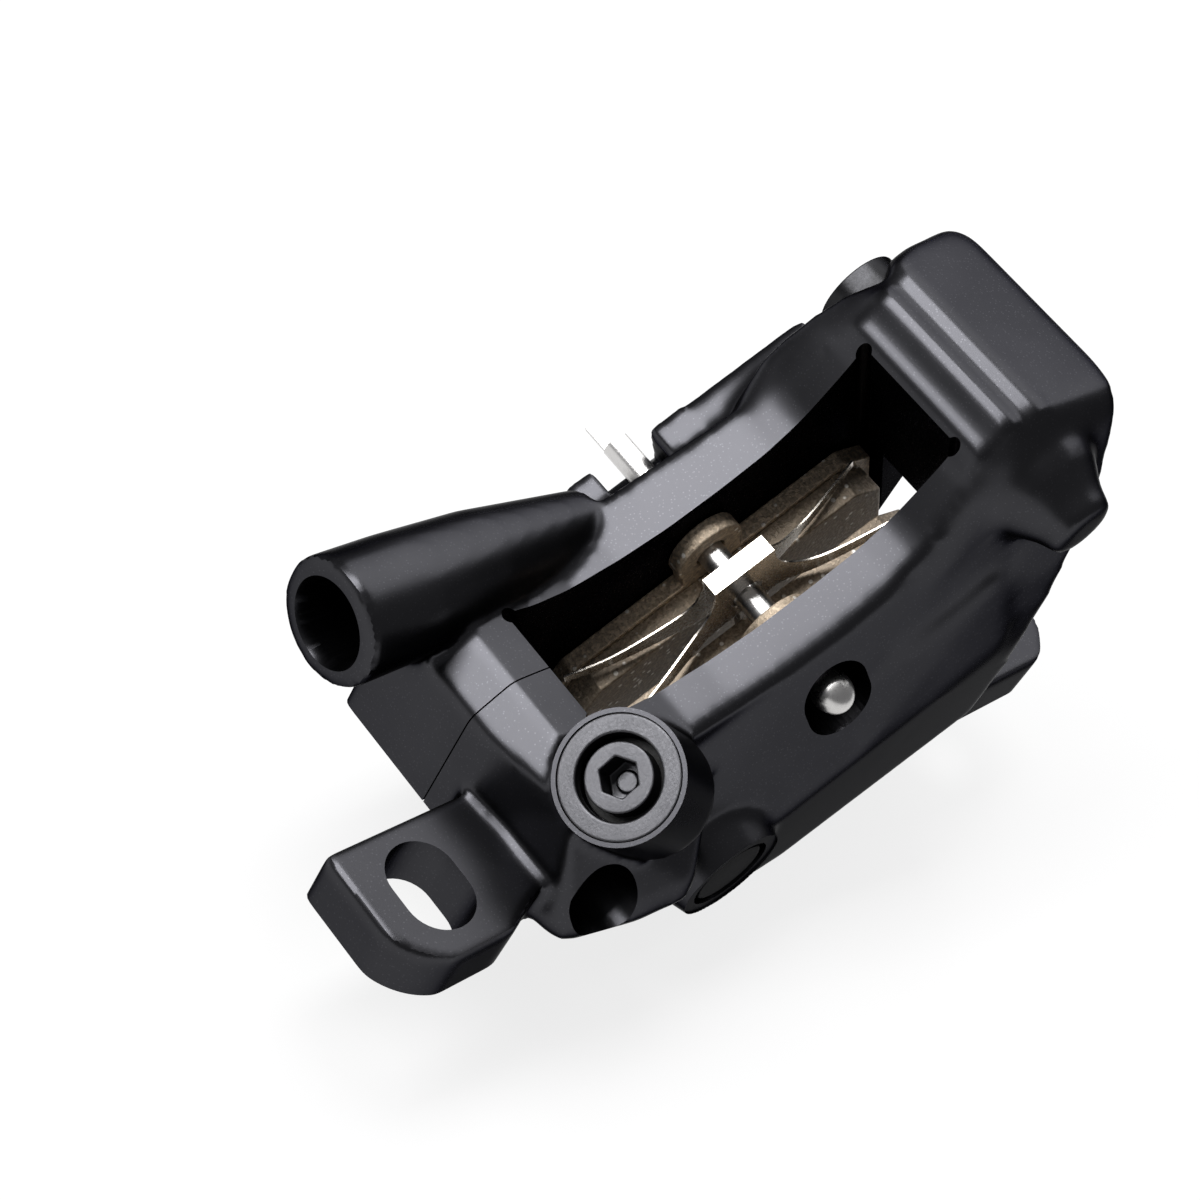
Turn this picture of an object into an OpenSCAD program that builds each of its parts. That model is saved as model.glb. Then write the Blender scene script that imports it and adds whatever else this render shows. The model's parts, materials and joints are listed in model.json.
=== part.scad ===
// Hydraulic disc brake caliper for a bicycle, post mount, split body with four pistons.
// The frame: the origin is midway between the two mounting slots, on the face that sits on the posts.
// X runs along the line of the slots to the far ear, Y points inboard to the wheel, Z points away
// from the posts. The pads, the pistons and the body's middle lie in a second frame, tilted about Y
// round the pad pin: u along the pads, v away from the wheel's axle.

/* [Post mount] */
// Distance between the two mounting slots, the post mount standard
mount_pitch = 74.2; // [74:0.1:74.4]
// Width of a mounting slot, for an M6 bolt
slot_w = 6.4; // [6.2:0.1:6.8]
// End to end length of a mounting slot
slot_l = 8.6; // [7.6:0.1:9.4]
// Thickness of the ears
ear_t = 5.4; // [4.6:0.1:6.2]
// From a slot's centre to the ear's end
ear_end = 6.5; // [5.6:0.1:7.2]
// From a slot's centre to the ear's inboard edge
ear_in = 6.2; // [5.8:0.1:6.6]
// From a slot's centre to the ear's outboard edge
ear_out = 6.5; // [5.8:0.1:6.8]

/* [Body] */
// Angle between the mounting face and the pads
tilt = 35.4; // [34:0.1:36.5]
// Place of the pad pin along X
pin_x = 3.2; // [2.4:0.1:4]
// Height of the pad pin over the mounting face
pin_z = 14.6; // [14:0.1:15.2]
// Middle plane of the brake rotor, where the halves meet
rotor_y = 9.15; // [8.8:0.05:9.5]
// Width of the pad pocket
pocket_w = 12.1; // [11.9:0.1:12.4]
// From the pad pin to the near end of the pocket
pocket_near = 19.6; // [19.3:0.1:20]
// From the pad pin to the far end of the pocket
pocket_far = 19.1; // [19:0.1:19.5]
// Width of the slot that the rotor runs in
channel_w = 6; // [4.5:0.1:6.5]
// Top of the rotor's slot, measured down from the pad pin
channel_v = 4; // [3.6:0.1:4.4]
// Place of the near end face along X
end_near = 28.3; // [27.8:0.1:28.6]
// Place of the far end face along X
end_far = 28.7; // [28.2:0.1:29]
// Height of the near bridge over the mounting face
near_top = 14.7; // [14.4:0.1:15.2]
// Height of the far block over the mounting face
far_top = 41.7; // [41.2:0.1:42.4]
// Height of the pad walls over the pin, at their lowest
wall_dip = 6.8; // [6.2:0.1:7.4]
// Depth of the body under the pad pin
belly_v = 22.5; // [22.3:0.1:23.5]
// Thickness of the outboard wall at its top edge
wall_out = 5; // [4.4:0.1:5.6]
// Thickness of the inboard wall at its top land
wall_in = 4.6; // [4:0.1:5]
// Width of the raised rim beside the inboard land
rim_w = 2.6; // [2:0.1:3]
// Height of the raised rim over the land
rim_h = 1.2; // [0.6:0.1:1.6]
// Wall between the pad pocket and the far end face
end_wall = 1.1; // [0.9:0.1:1.3]
// Solid wall behind a piston
wall_back = 2.4; // [2:0.1:3]

/* [Pistons] */
// Radius of the near pistons
piston_near_r = 7; // [6.6:0.1:7.2]
// Radius of the far pistons
piston_far_r = 8; // [7.6:0.1:8.2]
// Place of the near pistons along the pads
piston_near_u = -9.4; // [-10:0.1:-9]
// Place of the far pistons along the pads
piston_far_u = 8.8; // [8.4:0.1:9.2]
// Depth of the pistons under the pad pin
piston_v = -12; // [-12.3:0.1:-11.6]
// Length of a piston
piston_l = 7.4; // [6.6:0.1:7.6]
// Depth of the piston bores
bore_l = 8.3; // [8.2:0.1:9]
// Running clearance round a piston
piston_gap = 0.05; // [0.03:0.01:0.08]
// Wall of a piston's cup
piston_wall = 2.4; // [1.8:0.1:3]
// Section of a piston seal
seal_w = 1.5; // [1.2:0.1:1.6]
// From the pocket's wall to a piston seal
seal_in = 2.2; // [1.8:0.1:2.8]

/* [Pads] */
// Thickness of a backing plate
plate_t = 1.7; // [1.4:0.1:1.8]
// Thickness of the friction material
friction_t = 2.9; // [2.6:0.1:3]
// Clearance between a backing plate and the pocket's wall
pad_back = 0.15; // [0.1:0.05:0.2]
// Clearance at each end of a pad in the pocket
pad_end = 0.5; // [0.3:0.1:0.8]
// Top edge of a backing plate, measured down from the pad pin
plate_top = 3; // [2.6:0.1:3.2]
// Height of a backing plate
plate_h = 18; // [17:0.1:18.6]
// Top edge of the friction material, measured down from the pad pin
friction_top = 3.5; // [3.3:0.1:4.5]
// Radius of the eye round the pad pin
tab_r = 3.6; // [3.2:0.1:3.8]

/* [Pad pin and spring] */
// Radius of the pad pin
pin_r = 1.35; // [1.2:0.05:1.4]
// Clearance round the pad pin
pin_gap = 0.2; // [0.1:0.05:0.3]
// Length of the flat tongue at the pin's end
tongue_l = 3; // [2:0.1:3.4]
// Thickness of the spring sheet
spring_t = 0.3; // [0.2:0.05:0.35]
// Width of the spring's bridge across the rotor's plane
spring_w = 2.8; // [2.6:0.1:3]
// Half the length of the spring's bridge along the pads
spring_u = 2.9; // [2.4:0.1:3.2]
// Height of the spring's bridge over the pin
spring_v = 4.3; // [3.6:0.1:4.8]
// Reach of a spring arm along the pads
arm_u = 15.5; // [14:0.1:16.5]

/* [Hose port] */
// Lateral place of the port's axis
port_y = 20.4; // [20:0.1:20.8]
// Height of the port's axis over the mounting face
port_z = 14.5; // [14.2:0.1:15]
// Place of the port's mouth along X
port_x = 36.3; // [35:0.1:37.5]
// Outer radius of the port's tube
port_r = 5.5; // [5.2:0.1:5.8]
// Radius of the port's threaded hole
port_bore = 3.6; // [3.2:0.1:3.7]
// Depth of the port's hole
port_depth = 14; // [10:0.5:18]

/* [Screws] */
// Radius of the two body bolts
bolt_r = 3; // [2.5:0.1:3]
// Radius of a body bolt's head
head_r = 4.1; // [3.8:0.1:4.2]
// Height of a body bolt's head
head_h = 3.6; // [3.2:0.1:4]
// Place of the near body bolt along X
bolt_near_x = -23.7; // [-23.8:0.1:-23.2]
// Height of the near body bolt over the mounting face
bolt_near_z = 4.7; // [4.5:0.1:5.2]
// Place of the far body bolt along the pads
bolt_far_u = 24.4; // [24:0.1:24.8]
// Height of the far body bolt over the pad pin
bolt_far_v = 6.8; // [6:0.1:7.4]
// Lean of the bleed boss from the Z axis
bleed_tilt = 49; // [46:0.5:52]
// Radius of the ring in the bleed boss
ring_r = 5.2; // [4.9:0.1:5.4]
// Hole in that ring
ring_hole = 3.6; // [3.4:0.1:3.8]
// Radius of the bleed screw's head
bleed_r = 2.9; // [2.7:0.1:3.1]
// Across the flats of the bleed screw's socket
bleed_af = 3; // [2.5:0.1:3.2]
// Radius of the passage plug
plug_r = 3.7; // [3.4:0.1:4]

/* [Hidden] */
$fn = 64;

black = [0.07, 0.07, 0.08];
steel = [0.75, 0.75, 0.76];
big = 60;
snug = 0.02;
cut_over = 1;
slot_x = mount_pitch / 2;
wall_y_out = rotor_y - pocket_w / 2;
wall_y_in = rotor_y + pocket_w / 2;
land_y = wall_y_out - wall_out;
rim_y0 = wall_y_in + wall_in;
rim_y1 = rim_y0 + rim_w;
flank_y = wall_y_out - bore_l - wall_back;
belly_y = wall_y_in + bore_l + wall_back;
pad_u0 = -pocket_near + pad_end;
pad_u1 = pocket_far - pad_end;
plate_y_out = wall_y_out + pad_back;
plate_y_in = wall_y_in - pad_back - plate_t;
bleed_at = [-24.8, -3.1, 17];
plug_at = [-15.9, -9.2];
plug_y = flank_y - 1;
cross_at = [27.2, 1.2];
passage_r = 1.1;
plug_skirt = 6;
oil_y_out = wall_y_out - bore_l + 1;
oil_y_in = wall_y_in + bore_l - 1;

// A point of the pads' frame in the X and Z of the mounting frame
function in_row(u, v) = [pin_x + u * cos(tilt) - v * sin(tilt), pin_z + u * sin(tilt) + v * cos(tilt)];

function in_row3(u, y, v) = [in_row(u, v)[0], y, in_row(u, v)[1]];

// The walls' top edge along the pads, from the near bridge down to the dip and up to the far block
rise_near = [for (p = [[-19.8, 7.4], [-16.8, 4.8], [-13.5, 2.8], [-8, 1.1], [-3, 0.2], [3, 0]])
    in_row(p[0] * pocket_near / 19.6, wall_dip + p[1])];
rise_far = [for (p = [[8, 0.3], [13, 2.1], [17.6, 5.1], [20.2, 7.8], [23.7, 6.2], [25.5, 8.1]])
    in_row(p[0] * pocket_far / 19.1, wall_dip + p[1])];
crest_x = in_row(25.5 * pocket_far / 19.1, wall_dip + 8.1)[0];
top_edge = concat([[-end_near, 0], [-end_near, near_top - 2.7], [-end_near + 2.3, near_top],
    [-end_near + 6.5, near_top]], rise_near, rise_far,
    [[crest_x + 0.8, far_top], [end_far - 1.5, far_top], [end_far, far_top - 1.5]]);
belly = [in_row(13.5, -belly_v), in_row(-10, -belly_v), in_row(-16, -belly_v + 2.5),
    in_row(-19.7, -belly_v + 6), in_row(-pocket_near - 1.6, -belly_v + 10), [-15, 0]];

module in_body() {
    translate([pin_x, 0, pin_z]) rotate([0, -tilt, 0]) children();
}

module in_mount() {
    rotate([0, tilt, 0]) translate([-pin_x, 0, -pin_z]) children();
}

// A flat outline in X and Z, or u and v, made solid between two lateral planes
module slab(y0, y1) {
    translate([0, y1, 0]) rotate([90, 0, 0]) linear_extrude(height = y1 - y0) children();
}

// A round bar or hole along Y in the pads' frame
module across(u, v, y0, y1, r0, r1 = 0) {
    in_body() translate([u, y0, v]) rotate([-90, 0, 0])
        cylinder(r1 = r0, r2 = r1 == 0 ? r0 : r1, h = y1 - y0);
}

// A round bar or hole between two points
module rod(p, q, r) {
    d = q - p;
    translate(p) rotate([0, acos(d[2] / norm(d)), atan2(d[1], d[0])]) cylinder(r = r, h = norm(d));
}

module at_bleed() {
    translate(bleed_at) rotate([0, -bleed_tilt, 0]) children();
}

module at_near_bolt(y0, y1, r) {
    translate([bolt_near_x, y0, bolt_near_z]) rotate([-90, 0, 0]) cylinder(r = r, h = y1 - y0);
}

// One ear seen from above, side -1 is the near one
module ear_outline(side) {
    difference() {
        union() {
            translate([side * slot_x, 0]) intersection() {
                circle(r = (ear_end + ear_out) / 2 + 0.35);
                translate([-ear_end, -ear_out]) square([2 * ear_end, ear_out]);
            }
            translate([side < 0 ? -slot_x - ear_end : end_far - 6, 0])
                square([slot_x + ear_end - end_far + 6, ear_in]);
            translate([side < 0 ? -slot_x : end_far - 6, -ear_out])
                square([side < 0 ? 4.2 : slot_x - end_far + 6, ear_out + 0.01]);
            if (side < 0) polygon([[-slot_x + 4.1, -ear_out], [-end_near + 0.6, -4], [-end_near + 4, -4],
                [-end_near + 4, ear_in], [-slot_x, ear_in], [-slot_x + 4.1, -2]]);
        }
        hull() for (dy = [-1, 1]) translate([side * slot_x, dy * (slot_l - slot_w) / 2])
            circle(d = slot_w);
    }
}

module ear(side) {
    linear_extrude(height = ear_t) ear_outline(side);
}

// What both halves lose: the pad pocket with its relieved corners, and the rotor's slot
module pocket() {
    in_body() {
        difference() {
            union() {
                translate([-pocket_near, wall_y_out, -big]) cube([pocket_near + pocket_far, pocket_w, 2 * big]);
                for (u = [-pocket_near + 0.5, pocket_far - 0.5], y = [wall_y_out + 0.5, wall_y_in - 0.5])
                    translate([u, y, -18]) cylinder(r = 0.95, h = 2 * big);
            }
            in_mount() translate([end_far - end_wall, -big, -big]) cube(2 * big);
        }
        translate([-big, rotor_y - channel_w / 2, -channel_v - big]) cube([2 * big, channel_w, big]);
    }
}

// The bores of one half, side -1 is outboard, with the groove of each piston seal
module bores(side) {
    wall = side < 0 ? wall_y_out : wall_y_in;
    for (p = [[piston_near_u, piston_near_r], [piston_far_u, piston_far_r]]) {
        y0 = side < 0 ? wall - bore_l : wall - cut_over;
        across(p[0], piston_v, y0, y0 + bore_l + cut_over, p[1] + piston_gap);
        g0 = side < 0 ? wall - seal_in - seal_w : wall + seal_in;
        across(p[0], piston_v, g0 - snug, g0 + seal_w + snug, p[1] + seal_w);
    }
}

module outboard_half() {
    color(black) difference() {
        union() {
            ear(-1);
            ear(1);
            difference() {
                union() {
                    slab(land_y, rotor_y) polygon(concat(top_edge, [[end_far, 0], [end_far - 6, 0]], belly));
                    far_column();
                }
                translate([end_far, 4.5, far_top]) rotate([0, 83, -19]) translate([-big, -big, 0])
                    cube([2 * big, 2 * big, big]);
            }
            flank();
            near_corner();
            at_bleed() translate([0, 0, -10]) cylinder(r = ring_r + 0.35, h = 10);
            across(plug_at[0], plug_at[1], plug_y, plug_y + plug_skirt, plug_r + 1.5, plug_r + 3.4);
            across(bolt_far_u, bolt_far_v, -8.9, -1, 3.75, 4.8);
        }
        pocket();
        bores(-1);
        across(0, 0, -big, wall_y_out - 3.4, 4);
        across(0, 0, -big, wall_y_out + cut_over, pin_r + 0.1);
        across(bolt_far_u, bolt_far_v, -4.5, rotor_y + cut_over, bolt_r + snug);
        at_near_bolt(-big / 2, rotor_y + cut_over, bolt_r + snug);
        at_near_bolt(-big / 2, -4.4, bolt_r + 0.3);
        across(plug_at[0], plug_at[1], plug_y - cut_over, plug_y + 2.6, plug_r + 0.4);
        across(cross_at[0], cross_at[1], -1.6, rotor_y + cut_over, passage_r);
        across(cross_at[0], cross_at[1], rotor_y - 0.8, rotor_y + cut_over, passage_r + 1.9);
        in_body() rod([cross_at[0], -1.4, cross_at[1]], [piston_far_u + 5, oil_y_out, piston_v + 5], passage_r);
        in_body() rod([piston_near_u, oil_y_out, piston_v], [piston_far_u, oil_y_out, piston_v], passage_r);
        at_bleed() translate([0, 0, -1.5]) cylinder(r = ring_r + snug, h = 3);
        at_bleed() translate([0, 0, -3]) cylinder(r = ring_hole, h = 4);
        at_bleed() translate([0, 0, -9.5]) cylinder(r = 2.05, h = 10);
        rod([-18, -2.6, 11], in_row3(piston_near_u - 3.5, -1.6, piston_v + 5), passage_r);
    }
}

// The sloping outboard side down to the flat face behind the pistons
module flank() {
    hull() {
        slab(land_y, land_y + 0.2) polygon([in_row(-17, wall_dip - 0.4), in_row(15, wall_dip - 0.4),
            [end_far, 12], [end_far, 3], in_row(13, -belly_v), in_row(-10, -belly_v),
            in_row(-16, -belly_v + 2.5), in_row(-19.7, -belly_v + 6), in_row(-pocket_near - 1, -2)]);
        slab(flank_y, flank_y + 0.2) polygon([in_row(-17, -8.8), in_row(17.5, -9.6),
            [end_far - 1.2, 14], [end_far - 0.4, 3.6], in_row(13, -belly_v + 0.5),
            in_row(-9.6, -belly_v + 0.9), in_row(-15.5, -belly_v + 3.4), in_row(-18.8, -belly_v + 7)]);
    }
}

// The column that carries the far ear, from the top of the far block down to the mounting face
module far_column() {
    hull() {
        slab(-0.4, 0) polygon([[crest_x + 1, far_top - 0.4], [end_far - 1.5, far_top - 0.4],
            [end_far, far_top - 1.9], [end_far, 0], [20, 0], in_row(15, wall_dip)]);
        slab(flank_y, flank_y + 0.2) polygon([in_row(17.5, -9.6), [end_far - 1.2, 18.6],
            [end_far - 0.4, 3.6], in_row(13.5, -belly_v + 0.5)]);
    }
}

// The facetted corner beside the near ear, with the mouth of the near bolt's hole
module near_corner() {
    hull() {
        translate([-end_near, -3.1, 0]) cube([8, 5, near_top - 2.7]);
        translate([-end_near + 3.1, -6, 2.4]) sphere(r = 2.6, $fn = 32);
        translate([-end_near + 9, -7.1, 2.4]) sphere(r = 2.6, $fn = 32);
        translate([-end_near + 13.6, -7.4, 2.6]) sphere(r = 2.6, $fn = 32);
        translate([-end_near + 14, -2, 2]) cube([6, 4, 9]);
    }
}

module inboard_half() {
    color(black) difference() {
        union() {
            slab(rotor_y, rim_y0) polygon(concat(top_edge, [[end_far, 3], [end_far - 1.5, 3]], belly));
            rim();
            housing();
            near_skirt_block();
            hose_tube();
            in_body() translate([-3.6, rim_y1 - 0.5, -2.6]) cube([4.4, 2.2, 9]);
        }
        pocket();
        bores(1);
        across(0, 0, wall_y_in - cut_over, big, pin_r + 0.1);
        across(bolt_far_u, bolt_far_v, rotor_y - cut_over, big, bolt_r + 0.2);
        across(bolt_far_u, bolt_far_v, 18.9, big, head_r + 0.3);
        at_near_bolt(rotor_y - cut_over, big, bolt_r + 0.2);
        at_near_bolt(17, big, head_r + 0.1);
        across(cross_at[0], cross_at[1], rotor_y - cut_over, 18.4, passage_r);
        in_body() rod([cross_at[0], 18, cross_at[1]], [piston_far_u + 5.5, oil_y_in - 2.4, piston_v + 4.6], passage_r);
        in_body() rod([piston_near_u, oil_y_in, piston_v], [piston_far_u, oil_y_in, piston_v], passage_r);
        rod([-port_x + port_depth - 1, port_y, port_z], [in_row(piston_near_u, 0)[0] + 5, port_y + 1,
            in_row(0, piston_v)[1] - 1], passage_r);
        translate([-port_x - cut_over, port_y, port_z]) rotate([0, 90, 0])
            cylinder(r = port_bore, h = port_depth + cut_over);
        translate([-port_x - 0.01, port_y, port_z]) rotate([0, 90, 0])
            cylinder(r1 = port_bore + 0.65, r2 = port_bore, h = 1.3);
    }
}

// The raised outer rim of the inboard wall, and the far block's inboard end beside it
module rim() {
    lift = [for (p = top_edge) [p[0] - rim_h * sin(tilt), p[1] + rim_h * cos(tilt)]];
    slab(rim_y0 - 0.01, rim_y1) polygon(concat([for (i = [6:11]) lift[i]], [rise_far[1], in_row(17, wall_dip + 3),
        in_row(18, 0), in_row(16, -8), in_row(-17, -8), in_row(-18, 0)]));
    slab(rim_y0 - 0.01, rim_y0 + 1.3) polygon([rise_far[2], rise_far[3], rise_far[4], rise_far[5],
        [crest_x + 0.8, far_top - 0.6], [end_far - 2, far_top - 0.6], [end_far - 1, far_top - 1.8],
        [end_far - 1, 24], in_row(17, -9)]);
}

// The round shoulders over the inboard pistons
module housing() {
    hull() {
        slab(rim_y0 - 1, rim_y0) polygon([in_row(-20, 1), in_row(17, 3), in_row(21, -6),
            [end_far - 0.6, 13], [end_far - 0.6, 4.5], in_row(13, -belly_v), in_row(-10, -belly_v), in_row(-16, -belly_v + 2.5),
            in_row(-19.7, -belly_v + 6)]);
        across(piston_near_u, piston_v, rim_y0, belly_y - 1, piston_near_r + 1.9);
        across(piston_far_u, piston_v, rim_y0, belly_y - 1, piston_far_r + 1);
        across(piston_near_u, piston_v, rim_y0, belly_y, piston_near_r + 0.6);
        across(piston_far_u, piston_v, rim_y0, belly_y, piston_far_r - 0.4);
    }
}

// The block under the hose port, round the near body bolt
module near_skirt_block() {
    slab(rim_y0 - 1, port_y + 0.4) polygon([[-end_near, 0], [-end_near, port_z - 2], [-end_near + 8, port_z],
        in_row(-15, -2), in_row(-17, -9), [-14, 0]]);
}

module hose_tube() {
    translate([-port_x, port_y, port_z]) rotate([0, 90, 0]) {
        cylinder(r1 = port_r - 0.6, r2 = port_r, h = 0.6);
        translate([0, 0, 0.6]) cylinder(r = port_r, h = port_x - 15.6);
    }
    translate([-15, port_y, port_z]) sphere(r = port_r);
}

// A cup-shaped piston with its open end to the pad, side -1 is outboard
module piston(side, u, r) {
    face = side < 0 ? wall_y_out + pad_back - 0.05 : wall_y_in - pad_back + 0.05;
    y0 = side < 0 ? face - piston_l : face;
    cup = side < 0 ? y0 + piston_wall : y0 - cut_over;
    color([0.85, 0.84, 0.8]) difference() {
        across(u, piston_v, y0, y0 + piston_l, r);
        across(u, piston_v, cup, cup + piston_l - piston_wall + cut_over, r - piston_wall);
    }
}

module piston_outboard_near() {
    piston(-1, piston_near_u, piston_near_r);
}

module piston_outboard_far() {
    piston(-1, piston_far_u, piston_far_r);
}

module piston_inboard_near() {
    piston(1, piston_near_u, piston_near_r);
}

module piston_inboard_far() {
    piston(1, piston_far_u, piston_far_r);
}

// The square seals of two facing bores
module seals(u, r) {
    color([0.1, 0.1, 0.1]) for (y0 = [wall_y_out - seal_in - seal_w, wall_y_in + seal_in]) difference() {
        across(u, piston_v, y0, y0 + seal_w, r + seal_w - snug);
        across(u, piston_v, y0 - cut_over, y0 + seal_w + cut_over, r + snug);
    }
}

module seals_near() {
    seals(piston_near_u, piston_near_r);
}

module seals_far() {
    seals(piston_far_u, piston_far_r);
}

// A backing plate: a long plate with drooping ends and an eye for the pin
module plate(y0) {
    color([0.35, 0.3, 0.24]) in_body() difference() {
        union() {
            slab(y0, y0 + plate_t) polygon([[pad_u0, -plate_top - 2.6], [pad_u0 + 3, -plate_top],
                [-tab_r + 0.3, -plate_top], [-tab_r + 0.3, -0.4], [tab_r - 0.3, -0.4],
                [tab_r - 0.3, -plate_top], [pad_u1 - 3, -plate_top], [pad_u1, -plate_top - 2.6],
                [pad_u1, -plate_top - plate_h + 6.5], [pad_u1 - 5, -plate_top - plate_h],
                [pad_u0 + 4, -plate_top - plate_h], [pad_u0, -plate_top - plate_h + 3]]);
            translate([0, y0, 0]) rotate([-90, 0, 0]) cylinder(r = tab_r, h = plate_t);
        }
        translate([0, y0 - cut_over, 0]) rotate([-90, 0, 0])
            cylinder(r = pin_r + pin_gap, h = plate_t + 2 * cut_over);
    }
}

module plate_outboard() {
    plate(plate_y_out);
}

module plate_inboard() {
    plate(plate_y_in);
}

// The friction block on a plate, with a groove down its middle
module friction(y0, groove_y) {
    color([0.3, 0.26, 0.2]) in_body() difference() {
        slab(y0, y0 + friction_t) polygon([[pad_u0 + 1.2, -friction_top - 2.6], [pad_u0 + 4, -friction_top],
            [pad_u1 - 4, -friction_top], [pad_u1 - 1.2, -friction_top - 2.6],
            [pad_u1 - 1.2, -plate_top - plate_h + 6.9], [pad_u1 - 6, -plate_top - plate_h + 0.8],
            [pad_u0 + 5, -plate_top - plate_h + 0.8], [pad_u0 + 1.2, -plate_top - plate_h + 3.6]]);
        translate([-0.6, groove_y, -big]) cube([1.2, 1.4, 2 * big]);
    }
}

module friction_outboard() {
    friction(plate_y_out + plate_t, plate_y_out + plate_t + friction_t - 1.2);
}

module friction_inboard() {
    friction(plate_y_in - friction_t, plate_y_in - friction_t - 0.2);
}

// The pad spring: a bridge over the pin, a plate down each side, and an arm to each pad end
module pad_spring() {
    side_y = spring_w / 2;
    color(steel) in_body() difference() {
        union() {
            translate([-spring_u, rotor_y - side_y, spring_v - spring_t]) cube([2 * spring_u, spring_w, spring_t]);
            for (s = [-1, 1]) {
                y0 = s < 0 ? rotor_y - side_y : rotor_y + side_y - spring_t;
                slab(y0, y0 + spring_t) polygon([[-spring_u, spring_v], [spring_u, spring_v],
                    [spring_u + 1.6, 0.6], [spring_u + 2.2, -friction_top + 0.5],
                    [-spring_u - 2.2, -friction_top + 0.5], [-spring_u - 1.6, 0.6]]);
                for (e = [-1, 1]) spring_arm(s, e);
            }
        }
        translate([0, rotor_y - side_y - cut_over, 0]) rotate([-90, 0, 0])
            cylinder(r = pin_r + pin_gap, h = spring_w + 2 * cut_over);
    }
}

// One spring arm, from the side plate out to the backing plate, over the friction material
module spring_arm(s, e) {
    y_root = rotor_y + s * (spring_w - spring_t) / 2;
    y_tip = rotor_y + s * (pocket_w / 2 - pad_back - plate_t - spring_t / 2 - 0.1);
    hull() {
        translate([e * (spring_u + 1.6), y_root, -0.6]) cube([0.4, spring_t, 3.6], center = true);
        translate([e * arm_u, y_tip, -friction_top + 1.3]) cube([0.6, spring_t, 1.2], center = true);
    }
}

// The pad pin: a bent round bar with a domed eye outboard and a flat tongue inboard
module pad_pin() {
    tip_y = 27.3;
    color(steel) {
        across(0, 0, -2.4, tip_y, pin_r);
        in_body() translate([0, -3.2, 0]) sphere(r = 2);
        in_body() translate([-1.2, tip_y - 0.4, -0.4]) cube([2.4, tongue_l + 0.4, 0.8]);
    }
}

module body_bolts() {
    color([0.05, 0.05, 0.05]) {
        difference() {
            union() {
                across(bolt_far_u, bolt_far_v, -3.5, 18.95, bolt_r);
                across(bolt_far_u, bolt_far_v, 18.95, 18.95 + head_h, head_r);
            }
            in_body() translate([bolt_far_u, 16.5 + head_h, bolt_far_v]) rotate([-90, 0, 0])
                cylinder(r = 2.9, h = head_h, $fn = 6);
        }
        difference() {
            union() {
                at_near_bolt(-3, 17.05, bolt_r);
                at_near_bolt(17.05, 17.05 + head_h, head_r);
            }
            translate([bolt_near_x, 14.6 + head_h, bolt_near_z]) rotate([-90, 0, 0])
                cylinder(r = 2.9, h = head_h, $fn = 6);
        }
    }
}

// The ring that seals the oil passage where the halves meet
module crossover_seal() {
    color([0.1, 0.1, 0.1]) difference() {
        across(cross_at[0], cross_at[1], rotor_y - 0.78, rotor_y - 0.02, passage_r + 1.85);
        across(cross_at[0], cross_at[1], rotor_y - 2, rotor_y + 1, passage_r + 0.3);
    }
}

module bleed_screw() {
    color([0.25, 0.25, 0.27]) at_bleed() difference() {
        union() {
            translate([0, 0, -2.4]) cylinder(r = bleed_r, h = 2.4);
            translate([0, 0, -9]) cylinder(r = 2, h = 6.8);
        }
        difference() {
            translate([0, 0, -3]) cylinder(r = bleed_af / sqrt(3), h = 4, $fn = 6);
            translate([0, 0, -3.1]) cylinder(r = 0.9, h = 0.5);
        }
    }
}

module bleed_ring() {
    color([0.4, 0.4, 0.42]) at_bleed() difference() {
        translate([0, 0, -1.48]) cylinder(r = ring_r, h = 1.48);
        translate([0, 0, -2]) cylinder(r = ring_hole, h = 3);
    }
}

// The soft ring under the bleed screw's head
module bleed_seal() {
    color([0.1, 0.1, 0.1]) at_bleed() difference() {
        translate([0, 0, -2.98]) cylinder(r = ring_hole - 0.05, h = 0.56);
        translate([0, 0, -4]) cylinder(r = 2.04, h = 2);
    }
}

module passage_plug() {
    color([0.06, 0.06, 0.07]) across(plug_at[0], plug_at[1], plug_y + 0.15, plug_y + 2.58, plug_r);
}

// The thin ring round the passage plug
module plug_seal() {
    color([0.03, 0.03, 0.03]) difference() {
        across(plug_at[0], plug_at[1], plug_y + 0.7, plug_y + 1.6, plug_r + 0.38);
        across(plug_at[0], plug_at[1], plug_y, plug_y + 3, plug_r + snug);
    }
}

outboard_half();
inboard_half();
piston_outboard_near();
piston_outboard_far();
piston_inboard_near();
piston_inboard_far();
seals_near();
seals_far();
plate_outboard();
plate_inboard();
friction_outboard();
friction_inboard();
pad_spring();
pad_pin();
body_bolts();
crossover_seal();
bleed_screw();
bleed_ring();
bleed_seal();
passage_plug();
plug_seal();
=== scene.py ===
"""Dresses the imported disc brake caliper: soft cast halves with crisp machined cuts, steel, pads and a studio.

Every shape is worked out in millimetres in the mounting frame and shrunk to metres when it is finished.
"""
import json
import math

import bmesh
import bpy
from mathutils import Matrix, Quaternion, Vector


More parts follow.
